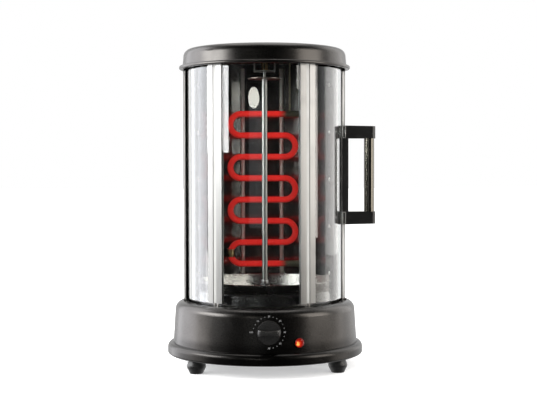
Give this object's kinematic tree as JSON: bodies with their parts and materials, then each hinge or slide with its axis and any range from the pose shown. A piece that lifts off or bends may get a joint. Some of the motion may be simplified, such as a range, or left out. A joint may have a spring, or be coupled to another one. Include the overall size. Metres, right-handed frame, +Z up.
{
  "type": "vertical kebab grill",
  "caption": "Upright electric grill with a turning spit before a looped heater, a curved glazed door that slides round the chamber, a lift-out drip tray and a timer knob.",
  "frame": {"origin": "on the surface it stands on, under the middle of the whole outline; the axis that the spit and the door turn about stands 10.1 mm from it towards -X", "axes": "+Z up along the spit, -Y towards the front with the timer knob, +X towards the handle side"},
  "size_m": [0.3052, 0.2923, 0.46],
  "materials": {
    "dark_enamel": "satin metallic dark grey",
    "zinc_steel": "zinc plated sheet",
    "foot_plastic": "matt black",
    "screw_steel": "bright zinc",
    "black_enamel": "satin black, heat proof",
    "tray_steel": "polished stainless",
    "housing_steel": "satin stainless",
    "reflector_steel": "polished reflector sheet",
    "rivet_steel": "satin",
    "door_glass": "clear curved safety glass",
    "bar_aluminium": "satin anodised, brushed lengthwise",
    "pin_steel": "bright turned",
    "handle_plastic": "satin black, heat proof",
    "heater_tube": "sheathed element, lit red",
    "terminal_ceramic": "glazed insulator",
    "sleeve_fibre": "woven glass sleeve over a lead",
    "clip_brass": "heat stained",
    "disc_steel": "stainless",
    "socket_nylon": "heat proof moulding",
    "motor_can": "grey can",
    "timer_plastic": "pale moulding",
    "knob_plastic": "satin black",
    "lamp_red": "clear red lens"
  },
  "bodies": {
    "grill": {"base_housing": "dark_enamel", "base_plate": "zinc_steel", "feet": "foot_plastic", "foot_screws": "screw_steel", "chamber_floor": "black_enamel", "rear_housing": "housing_steel", "reflector": "reflector_steel", "rivets": "rivet_steel", "lid": "dark_enamel", "ceiling_plate": "black_enamel", "heater_element": "heater_tube", "heater_terminals": "terminal_ceramic", "heater_sleeve": "sleeve_fibre", "heater_clip": "clip_brass", "bearing_bracket": "zinc_steel", "bearing_bush": "clip_brass", "motor": "motor_can", "motor_bracket": "zinc_steel", "timer_case": "timer_plastic", "lamp_bezel": "knob_plastic", "lamp_lens": "lamp_red", "cable_gland": "socket_nylon"},
    "door": {"left_glass": "door_glass", "front_glass": "door_glass", "right_glass": "door_glass", "left_mullion": "bar_aluminium", "right_mullion": "bar_aluminium", "trailing_stile": "bar_aluminium", "closing_stile": "bar_aluminium", "lower_guide_pins": "pin_steel", "upper_guide_pins": "pin_steel", "handle_bracket": "handle_plastic", "handle_grip": "pin_steel", "handle_screws": "screw_steel"},
    "drive": {"drive_socket": "socket_nylon", "drive_shaft": "disc_steel"},
    "spit": {"spit_rod": "pin_steel", "spit_disc": "disc_steel", "spit_clip": "zinc_steel"},
    "tray": {"drip_tray": "tray_steel"},
    "timer": {"timer_knob": "knob_plastic", "timer_shaft": "disc_steel"}
  },
  "joints": [
    {"name": "door_turn", "type": "hinge", "parent": "grill", "child": "door", "pos_m": [-0.0101, 0, 0.0955], "axis": [0, 0, 1], "range_deg": [-150, 0]},
    {"name": "drive_spin", "type": "hinge", "parent": "grill", "child": "drive", "pos_m": [-0.0101, 0, 0.1], "axis": [0, 0, 1], "continuous": true},
    {"name": "spit_lift", "type": "slide", "parent": "drive", "child": "spit", "axis": [0, 0, 1], "range_m": [0, 0.0085]},
    {"name": "tray_lift", "type": "slide", "parent": "grill", "child": "tray", "axis": [0, 0, 1], "range_m": [0, 0.01]},
    {"name": "timer_turn", "type": "hinge", "parent": "grill", "child": "timer", "pos_m": [-0.0101, -0.13, 0.0645], "axis": [0, 1, 0], "range_deg": [0, 270]}
  ]
}
